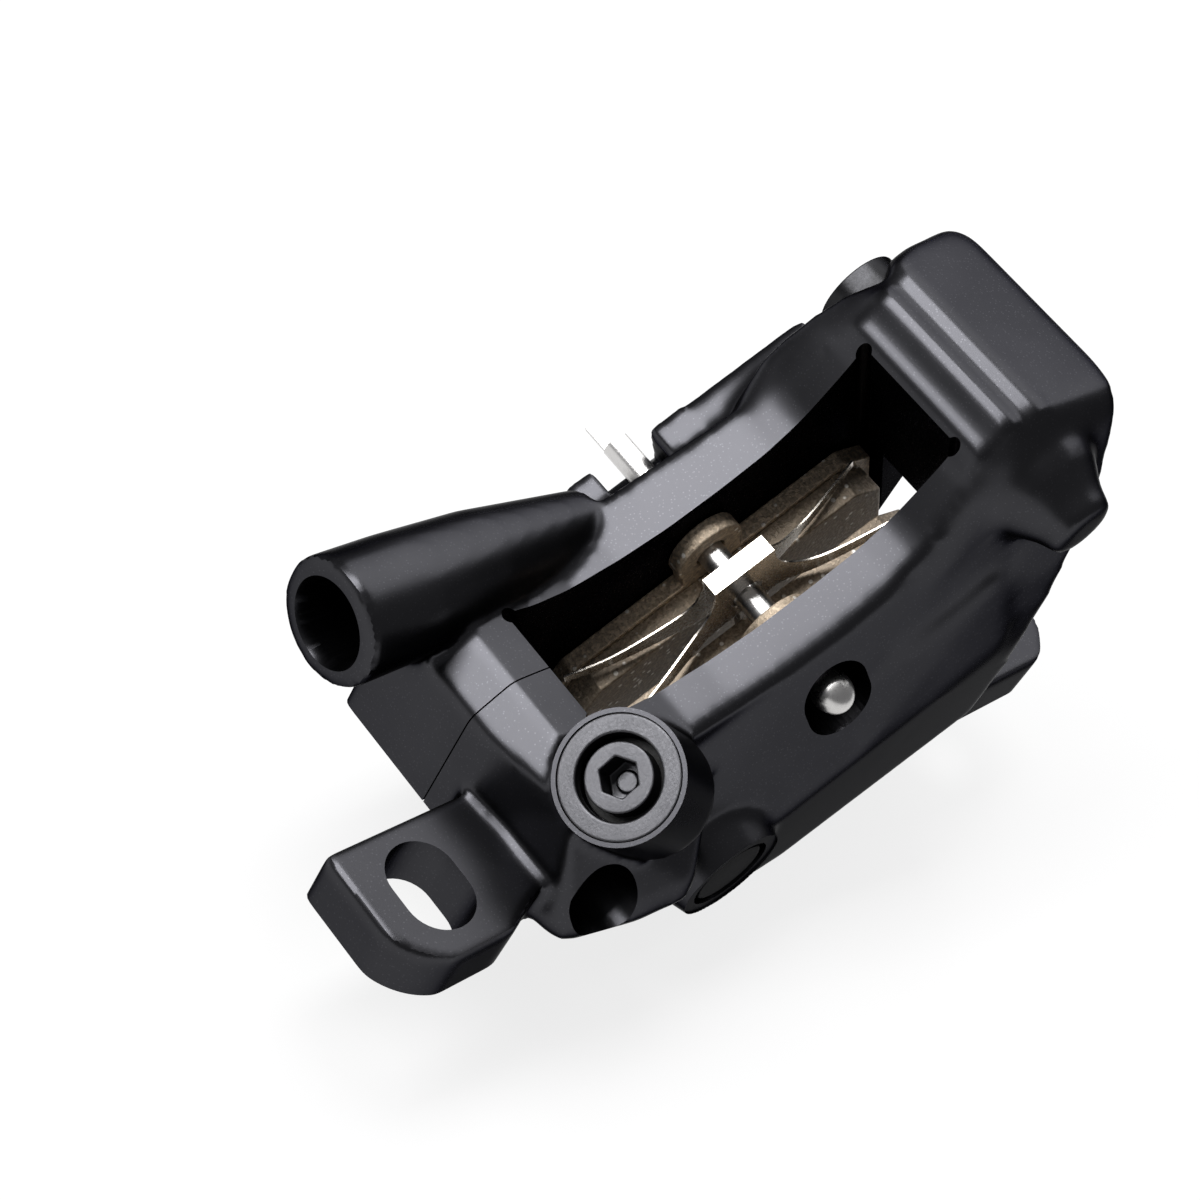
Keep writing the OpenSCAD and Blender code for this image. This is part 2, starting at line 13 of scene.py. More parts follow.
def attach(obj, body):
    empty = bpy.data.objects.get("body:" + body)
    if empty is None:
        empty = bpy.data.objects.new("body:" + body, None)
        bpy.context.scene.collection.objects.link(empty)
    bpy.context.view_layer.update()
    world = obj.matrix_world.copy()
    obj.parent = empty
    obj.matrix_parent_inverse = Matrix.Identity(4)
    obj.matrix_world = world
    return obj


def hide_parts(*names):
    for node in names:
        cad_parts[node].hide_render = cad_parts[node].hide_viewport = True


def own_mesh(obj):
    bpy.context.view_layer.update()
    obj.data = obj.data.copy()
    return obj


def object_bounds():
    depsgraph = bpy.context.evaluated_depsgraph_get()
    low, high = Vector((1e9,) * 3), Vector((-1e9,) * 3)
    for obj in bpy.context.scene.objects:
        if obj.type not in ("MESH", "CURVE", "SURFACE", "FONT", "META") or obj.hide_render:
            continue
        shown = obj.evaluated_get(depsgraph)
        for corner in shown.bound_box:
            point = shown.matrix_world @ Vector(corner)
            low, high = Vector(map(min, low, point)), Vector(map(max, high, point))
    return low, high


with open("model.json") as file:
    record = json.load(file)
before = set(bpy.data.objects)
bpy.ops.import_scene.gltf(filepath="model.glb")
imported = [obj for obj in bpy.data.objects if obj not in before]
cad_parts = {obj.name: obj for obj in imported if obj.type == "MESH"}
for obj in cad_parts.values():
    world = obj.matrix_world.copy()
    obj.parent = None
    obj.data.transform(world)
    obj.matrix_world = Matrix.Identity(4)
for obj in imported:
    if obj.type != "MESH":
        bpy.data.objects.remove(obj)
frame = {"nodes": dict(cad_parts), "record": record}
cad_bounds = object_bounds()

bl_info = {
    "name": "Disc brake caliper",
    "version": (1, 0, 0),
    "blender": (4, 5, 0),
    "location": "3D View > Sidebar > Caliper",
    "description": "Builds the visible pieces of a four-piston bicycle brake caliper around its packed frame",
    "category": "Add Mesh",
}

BODY_OF = {node: body for body, nodes in frame["record"]["behaviour"]["bodies"].items() for node in nodes}

MM = 0.001
# the pads' tilted frame: its angle, and its origin on the pad pin. U runs along the pads and V up in it.
TILT = math.radians(35.4)
PIN_X, PIN_Z = 3.2, 14.6
# lateral planes: the rotor, the pocket's walls, the edges of the two lands, the flank and the housing's belly
ROTOR_Y = 9.15
WALL_OUT, WALL_IN = 3.1, 15.2
LAND_Y, RIM_Y = -1.9, 21.9
FLANK_Y, BELLY_Y = -7.6, 25.9
# the pocket's ends along the pads, and its relieved corners
POCKET_NEAR, POCKET_FAR = -19.6, 19.1
RELIEF_R, RELIEF_IN = 0.7, 0.3
ROTOR_HALF = 3
SEAM = 0.07
# the body's two ends and its top
END_NEAR, END_FAR = -28.3, 28.7
FAR_TOP = 41.7
# the ears, with the stock below them that is machined off again, and their slots
EAR_T, EAR_R, EAR_STOCK = 5.4, 6.85, 2
SLOT_X, SLOT_R, SLOT_HALF = 37.1, 3.2, 1.1
# the pistons: place along the pads and radius of each, their common height, and their bores with the seal's groove
PISTONS = ((-9.4, 7.0), (8.8, 8.0))
PISTON_V = -12.0
BORE_DEPTH, BORE_GAP = 8.3, 0.05
GROOVE_Y0, GROOVE_Y1, GROOVE_DEEP = 2.18, 3.72, 1.5
# the pad pin, the spring's sheet, the hose port, the bleed screw and the plug
PIN_R, PIN_GAP = 1.35, 0.1
SHEET_T = 0.2
PORT_Y, PORT_Z, PORT_X = 20.4, 14.5, -36.3
BLEED_AT = Vector((-24.8, -3.1, 17.0))
BLEED_AXIS = Vector((-0.75471, 0.0, 0.656059))
PLUG_U, PLUG_V, PLUG_Y = -15.9, -9.2, -8.6
# the body bolts: their places, their thread in the outboard half and their way through the inboard one
BOLT_FAR_U, BOLT_FAR_V = 24.4, 6.8
BOLT_NEAR_X, BOLT_NEAR_Z = -23.7, 4.7
THREAD_R, BOLT_WAY_R = 3.02, 3.2
# the oil way between the halves
OIL_U, OIL_V = 27.2, 1.2
# depth to which the forms round the window reach into the core below them
ROOT_V = -2


def in_row(u, v):
    """A point of the pads' tilted frame, as X and Z of the mounting frame."""
    return (PIN_X + u * math.cos(TILT) - v * math.sin(TILT), PIN_Z + u * math.sin(TILT) + v * math.cos(TILT))


def in_rows(*places):
    return [in_row(u, v) for u, v in places]


def in_row3(u, y, v):
    """The same with Y, as a point."""
    x, z = in_row(u, v)
    return Vector((x, y, z))


def section_at(u, section):
    """A section of lateral place and height, set at a place along the pads."""
    return [in_row3(u, y, v) for y, v in section]


TILTED = Matrix.Translation((PIN_X, 0, PIN_Z)) @ Matrix.Rotation(-TILT, 4, "Y")
# the land beside the pads, from the near end to the first ridge: along, outboard edge, inboard edge, height
LAND = ((-19.8, -1.9, 19.0, 14.2), (-16.8, -1.9, 19.9, 11.6), (-13.5, -1.9, 20.6, 9.6), (-8, -1.9, 20.9, 7.9),
        (-3, -1.9, 21.1, 7.0), (3, -1.9, 20.8, 6.8), (8, -1.8, 20.5, 7.1), (11.3, -1.4, 20.1, 8.1),
        (13, -1.2, 19.8, 8.9), (15.3, -0.9, 19.3, 10.4), (17.6, -0.5, 18.5, 12), (19.2, 0.2, 17.7, 13.6),
        (19.9, 0.9, 17.2, 14.35))
# the stepped ridges at the window's far end: along, then the section from the outboard to the inboard edge
TERRACE = ((11, ((-3.1, 4), (-1.6, 7.3), (20.6, 7.4), (21.3, 7.1))),
           (13.4, ((-2.95, 5.1), (-1.4, 8.3), (19.9, 8.6), (21.2, 8.2))),
           (17, ((-2.45, 6.8), (-0.9, 10.8), (18.9, 10.9), (20.6, 10.6))),
           (19.9, ((-1.65, 10.9), (0.5, 13.6), (17.5, 13.7), (20, 12.3))),
           (21, ((-1.5, 12), (0.9, 14.5), (17.2, 14.5), (19.6, 13))),
           (22.9, ((-0.9, 13.2), (1.2, 15.6), (17.1, 15.6), (18.6, 14.4))),
           (23.3, ((-0.8, 13.2), (1.2, 15.65), (17.1, 15.65), (18.6, 14.4))),
           (24.8, ((-0.8, 12.6), (1.4, 14.4), (17.4, 14.4), (19, 13.6))))
# the shoulder on the inboard side of the ridges: along, lateral edge, height
SHOULDER = ((9.5, 21.2, 6.9), (13.4, 22.3, 8.7), (17.5, 22, 10.5), (21.2, 20.9, 12.7), (23.3, 19.8, 13.7),
            (24.7, 19, 13.9))
# the far block by height: front X and outboard Y of its corner crease, outboard Y and X at the far end, inboard Y
COLUMN = ((FAR_TOP, 16.3, 1.4, 1.2, 27.1, 20.6), (41.4, 15.75, 0.5, 0.2, 27.8, 21.3),
          (40.9, 15.4, -0.1, -0.6, 28.3, 21.7), (40, 15.6, -0.9, -1.5, END_FAR, 22),
          (38, 17.35, -1.7, -2.7, END_FAR, 22), (32.3, 18.7, -2.95, -4.7, END_FAR, 22),
          (26.1, 19.3, -4.45, -6.2, END_FAR, 22), (21.6, 18.8, -5.4, -6.8, END_FAR - 0.2, 21.6),
          (17.5, 17, -6.1, -7.2, END_FAR - 0.5, 21), (3, 15, FLANK_Y, FLANK_Y, END_FAR - 0.4, 19))
# the block's levels above this are its rounded crown
CROWN_Z = 40.5
# the band that runs down the sloping side from the ridges, by height: front X and Y, back X and Y
BAND = ((38.1, 13.4, -1.1, 17.35, -1.6), (35.2, 13.35, -1.5, 18.2, -2.2), (30, 13.1, -2.3, 18.9, -3.3),
        (26.3, 11.2, -2.8, 19.2, -4.2), (22, 9, -3.25, 18.6, -5.35), (18.7, 8, -4.2, 15.7, -5.5))
# the spring's cheeks, outboard and inboard, each as a near and a far arm from the bridge's corner out:
# along, lateral place, upper edge, lower edge
SPRING = ((((-3.3, 8.3, 5.2, -2.9), (-3.5, 8.3, 3.4, -3), (-4.6, 8.2, 1.3, -3), (-7, 7.7, 0.3, -2.8),
            (-10.5, 6.6, 0.5, -2), (-14.8, 5.25, 1.2, -0.6)),
           ((3.3, 8.3, 5.2, -2.9), (3.5, 8.3, 3.2, -3), (4.5, 8.1, 0.9, -3), (6.8, 7.3, -0.4, -2.8),
            (9.6, 6.4, -0.1, -2), (14, 5.25, 0.9, -0.8))),
          (((-3.3, 10, 5.2, -2.9), (-3.5, 10, 3.4, -3), (-4.8, 10.1, 1, -3), (-8.4, 10.7, -0.2, -2.8),
            (-12.9, 11.6, -1, -2.6), (-17.2, 12.9, -1.2, -2.4)),
           ((3.3, 10, 5.2, -2.9), (3.5, 10, 3.4, -3), (4.8, 10.1, 0.6, -3), (7.5, 10.6, -0.8, -2.8),
            (10.6, 11.3, -1.3, -2.8), (16, 12.9, -2, -3.2))))
# the underside of the core between the feet, and the lower corners that both sides share
BELLY = in_rows((13.5, -22.5), (-10, -22.5), (-16, -20), (-19.7, -16.5), (-21.2, -12.5))
UNDER = in_rows((13, -22.5), (-10, -22.5), (-16, -20), (-19.7, -16.5))
# the near end's chamfer: lateral place, the end's X, height of the chamfer's lower edge
CHAMFER = ((20, END_NEAR, 11.6), (6.8, END_NEAR, 11.6), (-2.8, -27.1, 12.8))


# ---------------------------------------------------------------- shapes

class Shape:
    """A solid under way, in millimetres."""

    def __init__(self):
        self.bm = bmesh.new()

    def slab(self, outline, y0, y1):
        """A flat outline of X and Z, made solid between two lateral planes."""
        return self.prism([(x, y0, z) for x, z in outline], (0, y1 - y0, 0))

    def prism(self, points, way):
        """Flat points, made solid by moving them along a way."""
        verts = [self.bm.verts.new(p) for p in points]
        grown = bmesh.ops.extrude_face_region(self.bm, geom=[self.bm.faces.new(verts)])["geom"]
        moved = [g for g in grown if isinstance(g, bmesh.types.BMVert)]
        bmesh.ops.translate(self.bm, verts=moved, vec=way)
        return self

    def block(self, low, high, matrix=Matrix.Identity(4)):
        """A box between two corners, moved by a matrix."""
        low, high = Vector(low), Vector(high)
        size = Matrix.Diagonal((high - low).to_4d())
        size[3][3] = 1
        bmesh.ops.create_cube(self.bm, size=1, matrix=matrix @ Matrix.Translation((low + high) / 2) @ size)
        return self

    def bar(self, start, end, r0, r1=None, sides=64):
        """A round bar, or a cone if it has a second radius."""
        start, end = Vector(start), Vector(end)
        turn = Vector((0, 0, 1)).rotation_difference(end - start).to_matrix().to_4x4()
        bmesh.ops.create_cone(self.bm, cap_ends=True, segments=sides, radius1=r0, radius2=r0 if r1 is None else r1,
                              depth=(end - start).length, matrix=Matrix.Translation((start + end) / 2) @ turn)
        return self

    def across(self, u, v, y0, y1, r0, r1=None, sides=64):
        """A round bar along Y at a place in the pads' frame."""
        return self.bar(in_row3(u, y0, v), in_row3(u, y1, v), r0, r1, sides)

    def ball(self, at, r, scale):
        grow = Matrix.Diagonal(Vector(scale).to_4d())
        grow[3][3] = 1
        bmesh.ops.create_icosphere(self.bm, subdivisions=4, radius=r, matrix=Matrix.Translation(at) @ grow)
        return self

    def hull(self, points=(), rings=()):
        """The skin stretched round points and round rings, each ring (centre, axis, radius)."""
        verts = [self.bm.verts.new(p) for p in points]
        for centre, axis, r in rings:
            turn = Vector((0, 0, 1)).rotation_difference(Vector(axis)).to_matrix().to_4x4()
            verts += bmesh.ops.create_circle(self.bm, segments=40, radius=r,
                                             matrix=Matrix.Translation(centre) @ turn)["verts"]
        done = bmesh.ops.convex_hull(self.bm, input=verts)
        spare = [g for g in done["geom_interior"] + done["geom_unused"] if isinstance(g, bmesh.types.BMVert)]
        bmesh.ops.delete(self.bm, geom=list(set(spare)), context="VERTS")
        return self

    def object(self, name):
        """The finished solid as an object of the scene."""
        bmesh.ops.recalc_face_normals(self.bm, faces=self.bm.faces[:])
        mesh = bpy.data.meshes.new(name)
        self.bm.to_mesh(mesh)
        self.bm.free()
        made = bpy.data.objects.new(name, mesh)
        bpy.context.scene.collection.objects.link(made)
        return made


def settle(piece):
    """Makes a piece's modifiers part of its mesh."""
    bpy.context.view_layer.update()
    old = piece.data
    piece.data = bpy.data.meshes.new_from_object(piece.evaluated_get(bpy.context.evaluated_depsgraph_get()))
    piece.modifiers.clear()
    bpy.data.meshes.remove(old)


def fuse(piece, voxel):
    """Melts overlapping solids into one skin."""
    melt = piece.modifiers.new("fuse", "REMESH")
    melt.mode = "VOXEL"
    melt.voxel_size = voxel
    settle(piece)


def soften(piece, passes_at, most):
    """Rounds the skin. passes_at gives how many passes the skin gets at a point."""
    bm = bmesh.new()
    bm.from_mesh(piece.data)
    wanted = {v: passes_at(v.co) for v in bm.verts}
    for turn in range(most):
        bmesh.ops.smooth_vert(bm, verts=[v for v in bm.verts if wanted[v] > turn], factor=0.5,
                              use_axis_x=True, use_axis_y=True, use_axis_z=True)
    bm.to_mesh(piece.data)
    bm.free()


def machine(piece, cutters, kind="DIFFERENCE"):
    """Cuts each cutter out of a piece, or joins it on, and throws the cutters away."""
    for cutter in cutters:
        step = piece.modifiers.new("cut", "BOOLEAN")
        step.operation = kind
        step.solver = "MANIFOLD"
        step.object = cutter
    settle(piece)
    for cutter in cutters:
        bpy.data.objects.remove(cutter)


def dress(piece, finish, replaced, body="body", crease=32):
    """Shrinks a finished piece to metres, shades it and hangs it on its body."""
    mesh = piece.data
    mesh.transform(Matrix.Scale(MM, 4))
    mesh.materials.clear()
    mesh.materials.append(finish)
    mesh.shade_smooth()
    mesh.set_sharp_from_angle(angle=math.radians(crease))
    piece.modifiers.new("shade", "WEIGHTED_NORMAL").keep_sharp = True
    settle(piece)
    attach(piece, body)
    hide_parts(*replaced)
    return piece


def eased(node, name, width, finish):
    """A copy of a CAD node with its sharp edges broken, which takes the node's place."""
    bm = bmesh.new()
    bm.from_mesh(frame["nodes"][node].data)
    bmesh.ops.scale(bm, vec=(1 / MM,) * 3, verts=bm.verts[:])
    bmesh.ops.remove_doubles(bm, verts=bm.verts[:], dist=0.0005)
    bmesh.ops.dissolve_limit(bm, angle_limit=math.radians(0.4), verts=bm.verts[:], edges=bm.edges[:])
    sharp = [e for e in bm.edges if len(e.link_faces) == 2 and e.calc_face_angle() > math.radians(30)]
    bmesh.ops.bevel(bm, geom=sharp, offset=width, offset_type="OFFSET", affect="EDGES", segments=2,
                    profile=0.5, material=-1, clamp_overlap=True)
    mesh = bpy.data.meshes.new(name)
    bm.to_mesh(mesh)
    bm.free()
    piece = bpy.data.objects.new(name, mesh)
    bpy.context.scene.collection.objects.link(piece)
    return dress(piece, finish, (node,), BODY_OF[node], 40)


# ---------------------------------------------------------------- the two halves

def ear_outline(side):
    """One ear seen from above, from the body out round its end."""
    arc = [(-math.cos(math.radians(a)) * EAR_R, -math.sin(math.radians(a)) * EAR_R) for a in range(19, 75, 5)]
    outer = [(-6.5, 6.2)] + arc + [(-2.1, -6.5)]
    if side < 0:
        inner = [(4.1, -6.5), (9.4, -4), (13, -4), (13, 6.2)]
        return [(-SLOT_X + x, y) for x, y in outer + inner]
    inner = [(-SLOT_X + END_FAR - 6, -6.5), (-SLOT_X + END_FAR - 6, 6.2)]
    return [(SLOT_X - x, y) for x, y in outer] + [(SLOT_X + x, y) for x, y in inner]


def cut_blocks(*table):
    """Square cutters: name and two corners."""
    return [Shape().block(low, high).object(name) for name, low, high in table]


def cut_across(*table):
    """Round cutters along Y: name, place in the pads' frame, both lateral ends, then radii and sides."""
    return [Shape().across(*place).object(name) for name, *place in table]


def cut_along(at, axis, *table, sides=64):
    """Round cutters on one axis: name, start, end, then radii."""
    at, axis = Vector(at), Vector(axis)
    return [Shape().bar(at + start * axis, at + end * axis, *radii, sides=sides).object(name)
            for name, start, end, *radii in table]


def slot_cutter(side):
    rings = [((side * SLOT_X, dy, z), (0, 0, 1), SLOT_R) for dy in (-SLOT_HALF, SLOT_HALF) for z in (-4, 12)]
    return Shape().hull(rings=rings).object("slot")


def pocket_cutters():
    """The pad pocket with its relieved corners, and the rotor's slot."""
    pocket = Shape().block((POCKET_NEAR, WALL_OUT, -60), (POCKET_FAR, WALL_IN, 60), TILTED).object("pocket")
    reliefs = []
    for u in (POCKET_NEAR + RELIEF_IN, POCKET_FAR - RELIEF_IN):
        for y in (WALL_OUT + RELIEF_IN, WALL_IN - RELIEF_IN):
            start, end = in_row3(u, y, -18), in_row3(u, y, 60)
            reliefs.append(Shape().bar(start, end, RELIEF_R, sides=32).object("relief"))
    machine(pocket, reliefs, "UNION")
    machine(pocket, cut_blocks(("end wall", (END_FAR - 1.1, -60, -60), (90, 60, 90))))
    low, high = (-60, ROTOR_Y - ROTOR_HALF, -64), (60, ROTOR_Y + ROTOR_HALF, -4)
    return [pocket, Shape().block(low, high, TILTED).object("channel")]


def bore_cutters(side):
    """The piston bores of one half, each with the groove of its seal."""
    wall = WALL_OUT if side < 0 else WALL_IN
    made = []
    for u, r in PISTONS:
        for name, start, end, more in (("bore", BORE_DEPTH, -1, BORE_GAP),
                                       ("groove", GROOVE_Y0, GROOVE_Y1, GROOVE_DEEP)):
            y0, y1 = sorted((wall + side * start, wall + side * end))
            made.append(Shape().across(u, PISTON_V, y0, y1, r + more, sides=96).object(name))
    return made


def loft(form, sections):
    """A solid skinned over flat sections, one after the other."""
    for one, two in zip(sections, sections[1:]):
        form.hull([*one, *two])


def window_rim(form):
    """The lands beside the pads, the ridges at the window's far end and the far block behind them."""
    loft(form, [section_at(u, ((out, top - 0.25), (out + 0.3, top), (inner - 0.3, top), (inner, top - 0.25),
                               (inner + 0.2, ROOT_V), (out, ROOT_V))) for u, out, inner, top in LAND])
    loft(form, [section_at(u, (*section, (section[-1][0], ROOT_V), (section[0][0], ROOT_V)))
                for u, section in TERRACE])
    loft(form, [section_at(u, ((16, top), (edge - 0.3, top), (edge, top - 0.3), (edge + 0.2, ROOT_V), (16, ROOT_V)))
                for u, edge, top in SHOULDER])
    levels = []
    for z, front, out, far_out, far, inner in COLUMN:
        wall = min(front, 16.5)
        corner = (front, 19.4) if z > CROWN_Z else (min(front + 1.5, 20), 20.8)
        levels.append([(x, y, z) for x, y in (
            (front + 0.5, out), (front, out + 0.6), (wall, 3), (wall, 17.4), corner, (20.5, inner - 0.6),
            (far - 1.6, inner), (far, inner - 1.6), (far, far_out + 1), (far - 0.8, far_out))])
    loft(form, levels)


def body_skin(voxel, passes):
    """Both halves in one cast skin, before anything is machined."""
    core = Shape()
    loft(core, [[(x, y, z) for x, z in ((end, -2), (end, low), (-25.1, 14.8), (-21.6, 14.7))
                 + ((in_row(-16, 9), in_row(-17, -9)) if y > 0 else ((-21.6, -2),))]
                for y, end, low in CHAMFER])
    low = [(-15, -2), in_row(-17, 5), in_row(0, 5), in_row(16, 5), (END_FAR - 0.4, 30)]
    core.slab(low + [(END_FAR - 0.4, -2), (END_FAR - 6, -2)] + BELLY, 0, ROTOR_Y)
    core.slab(low + [(END_FAR - 0.6, 3), (END_FAR - 1.5, 3)] + BELLY, ROTOR_Y, 20.4)
    window_rim(core)
    flank = ((0, -4.6, -1), (12, -4.5, 0), (18, -4.9, 0.6), (19, -5.5, -2.5), (17.5, FLANK_Y, -9.6), (0, FLANK_Y, -9))
    core.hull([in_row3(u, y, v) for u, outer, v in flank for y in (outer, -1)])
    block = core.object("block")
    fuse(block, voxel)
    corner_cut = Matrix.Translation((END_FAR, 4.5, FAR_TOP)) @ Matrix.Rotation(math.radians(-19), 4, "Z") \
        @ Matrix.Rotation(math.radians(83), 4, "Y")
    machine(block, [Shape().block((-60, -60, 0), (60, 60, 60), corner_cut).object("corner")])
    form = Shape()
    form.bm.from_mesh(block.data)
    bpy.data.objects.remove(block)
    for side in (-1, 1):
        form.prism([(x, y, -EAR_STOCK) for x, y in ear_outline(side)], (0, 0, EAR_T + EAR_STOCK))
    outboard_side(form)
    inboard_side(form)
    skin = form.object("skin")
    fuse(skin, voxel)

    def passes_at(p):
        """Most on the far block's flank, less round its boss, least where the ridges and the chamfer are crisp."""
        if abs(p.x) > 30:
            return passes
        if p.x > 8 and p.z > 12 and p.y < (0.6 if p.z > 30 else -2):
            beside_boss = p.y < -3.4 and abs(p.z - 34.3) < 6
            return 2 * passes if beside_boss else 5 * passes
        crown = p.x > 17.5 and p.z > 33
        shoulder = p.x > 6 and p.y > 18.2
        if crown or shoulder:
            return 4 * passes
        ridges = p.x > 9 and p.z > 33
        chamfer = p.x < -20 and p.z > 7 and -4 < p.y < 12
        return passes // 2 if ridges or chamfer else passes

    soften(skin, passes_at, 5 * passes)
    return skin


def outboard_side(form):
    """The sloping side with its bosses."""
    upper = (in_rows((-17, 6.4), (13, 6.4)) + [(22, 14), (END_FAR - 0.5, 3)] + UNDER + in_rows((-20.6, -2)))
    middle = in_rows((-16.5, 0), (15, 0))
    lower = (in_rows((-17, -8.8), (17.5, -9.6)) + [(END_FAR - 1.2, 14), (END_FAR - 0.4, 3.6)]
             + in_rows((13, -22), (-9.6, -21.6), (-15.5, -19.1), (-18.8, -15.5)))
    form.hull([(x, LAND_Y - 0.1, z) for x, z in upper] + [(x, LAND_Y + 1, z) for x, z in upper]
              + [(x, -4.2, z) for x, z in middle] + [(x, FLANK_Y, z) for x, z in lower])
    loft(form, [[(front, y0, z), (back, y1, z), (back, 1, z), (front, 1, z)] for z, front, y0, back, y1 in BAND])
    # the facetted corner beside the near ear
    corner = [(-27.1, -2.8, 12.6), (-27.3, -3.1, 4), (-27.6, 1.9, 8), (-27.6, 1.9, 0), (-27.3, -3.1, 0)]
    corner += [(x, y, z) for x in (-14.3, -8.3) for y in (-2, 2) for z in (2, 11)]
    round_ends = []
    for x, y, z in ((-25.2, -6, 2.4), (-19.3, -7.1, 2.4), (-14.7, -7.4, 2.6)):
        round_ends += [((x, y + dy, z), (0, 1, 0), r) for dy, r in ((0, 2.6), (-1.7, 2), (-2.6, 0.3))]
        round_ends += [((x, y, z + dz), (0, 0, 1), r) for dz, r in ((-1.7, 2), (1.7, 2), (-2.6, 0.3), (2.6, 0.3))]
    form.hull(corner, round_ends)
    # bosses of the bleed screw, the plug and the far bolt
    form.bar(BLEED_AT - 10 * BLEED_AXIS, BLEED_AT + 2 * BLEED_AXIS, 5.62)
    form.across(PLUG_U, PLUG_V, PLUG_Y - 1.2, PLUG_Y + 6, 5, 7.2)
    for y0, y1, r0, r1 in ((-7.9, -5.8, 3, 3.6), (-5.8, -2.6, 3.6, 5.6), (-2.8, 1, 5.5, 5.5)):
        form.across(BOLT_FAR_U, BOLT_FAR_V, y0, y1, r0, r1)


def inboard_side(form):
    """The piston housing, notched for the pin's tongue, and the hose port."""
    base = in_rows((-20, 1), (17, 3), (21, -6)) + [(END_FAR - 0.6, 13), (END_FAR - 0.6, 4.5)] + UNDER
    rings = []
    for (u, r), (wide, tight) in zip(PISTONS, ((1.9, 0.6), (1.0, -0.4))):
        rings += [(in_row3(u, y, PISTON_V), (0, 1, 0), r + more)
                  for y, more in ((20, wide), (BELLY_Y - 1, wide), (BELLY_Y, tight))]
    form.hull([(x, y, z) for x, z in base for y in (19, 20)], rings)
    form.slab([(END_NEAR, -2), (END_NEAR, PORT_Z - 2), (END_NEAR + 8, PORT_Z), in_row(-15, -2), in_row(-17, -9),
               (-14, -2)], 18, PORT_Y + 0.4)
    tube = [Vector(at) for at in ((PORT_X, PORT_Y, PORT_Z), (-29, PORT_Y, PORT_Z), (-20, 20.8, 14.2), (-6, 21, 13.6))]
    for start, end, r0, r1 in zip(tube, tube[1:], (5.6, 5.5, 4.9), (5.5, 4.9, 3.4)):
        form.bar(start, end, r0, r1)
    # the top of the housing, on both sides of the notch
    for start, end, top in ((-7.4, -4.2, 4.7), (2.2, 20, 4.1)):
        form.block((start, RIM_Y - 1.5, -6), (end, RIM_Y + 3.1, top), TILTED)


def outboard_cutters():
    """All that is machined into the outboard half."""
    made = pocket_cutters() + bore_cutters(-1) + [slot_cutter(-1), slot_cutter(1)]
    made += cut_blocks(("parting", (-80, ROTOR_Y, -80), (80, 60, 80)),
                       ("near seam", (-80, ROTOR_Y - SEAM, -80), (-10, 60, 80)),
                       ("near foot", (-60, -30, -9), (-14.4, 30, 0)),
                       ("far foot", (21, -30, -9), (60, 30, 0)))
    recess = [(in_row3(0, y, v), (0, 1, 0), 3.4) for y in (-40, WALL_OUT - 3.4) for v in (-0.7, 0.7)]
    made.append(Shape().hull(rings=recess).object("pin recess"))
    made += cut_across(("pin hole", 0, 0, -40, 5, PIN_R + PIN_GAP),
                       ("far bolt", BOLT_FAR_U, BOLT_FAR_V, -4.5, 12, THREAD_R),
                       ("plug face", PLUG_U, PLUG_V, -20, PLUG_Y, 5.3),
                       ("plug seat", PLUG_U, PLUG_V, -20, PLUG_Y + 2.6, 4.1),
                       ("oil way", OIL_U, OIL_V, -1.6, 12, 1.1, 1.1, 32),
                       ("seal recess", OIL_U, OIL_V, ROTOR_Y - 0.8, 12, 3, 3, 48))
    made += cut_along((BOLT_NEAR_X, 0, BOLT_NEAR_Z), (0, 1, 0),
                      ("near bolt", -40, 12, THREAD_R),
                      ("near mouth", -40, -4.4, 3.3))
    made += cut_along(BLEED_AT, BLEED_AXIS,
                      ("bleed face", 0, 9, 9),
                      ("ring seat", -1.5, 3, 5.22),
                      ("screw seat", -3, 3, 3.6),
                      ("screw hole", -9.5, 0, 2.05), sides=96)
    return made


def inboard_cutters():
    """All that is machined into the inboard half."""
    made = pocket_cutters() + bore_cutters(1)
    made += cut_blocks(("parting", (-80, -60, -80), (80, ROTOR_Y, 80)),
                       ("near seam", (-80, -60, -80), (-10, ROTOR_Y + SEAM, 80)),
                       ("near foot", (-60, -30, -9), (-14.4, 40, 0)))
    made += cut_across(("pin hole", 0, 0, WALL_IN - 1, 40, PIN_R + PIN_GAP),
                       ("far bolt", BOLT_FAR_U, BOLT_FAR_V, 5, 40, BOLT_WAY_R),
                       ("far head", BOLT_FAR_U, BOLT_FAR_V, 18.9, 40, 4.25))
    made += cut_along((BOLT_NEAR_X, 0, BOLT_NEAR_Z), (0, 1, 0),
                      ("near bolt", 5, 40, BOLT_WAY_R),
                      ("near head", 17, 40, 4.2))
    made += cut_along((PORT_X, PORT_Y, PORT_Z), (1, 0, 0),
                      ("hose bore", -2, 14, 3.6),
                      ("hose mouth", -1, 1.2, 4.4, 3.55))
    return made


# ---------------------------------------------------------------- finishes

class Signal:
    """A number that changes over a surface. Python arithmetic on it adds Math nodes."""

    def __init__(self, tree, socket):
        self.tree, self.socket = tree, socket

    def math(self, operation, other):
        made = self.tree.nodes.new("ShaderNodeMath")
        made.operation = operation
        for slot, term in zip(made.inputs, (self, other)):
            if isinstance(term, Signal):
                self.tree.links.new(term.socket, slot)
            else:
                slot.default_value = term
        return Signal(self.tree, made.outputs[0])

    def __add__(self, other):
        return self.math("ADD", other)

    def __mul__(self, other):
        return self.math("MULTIPLY", other)

    __radd__, __rmul__ = __add__, __mul__


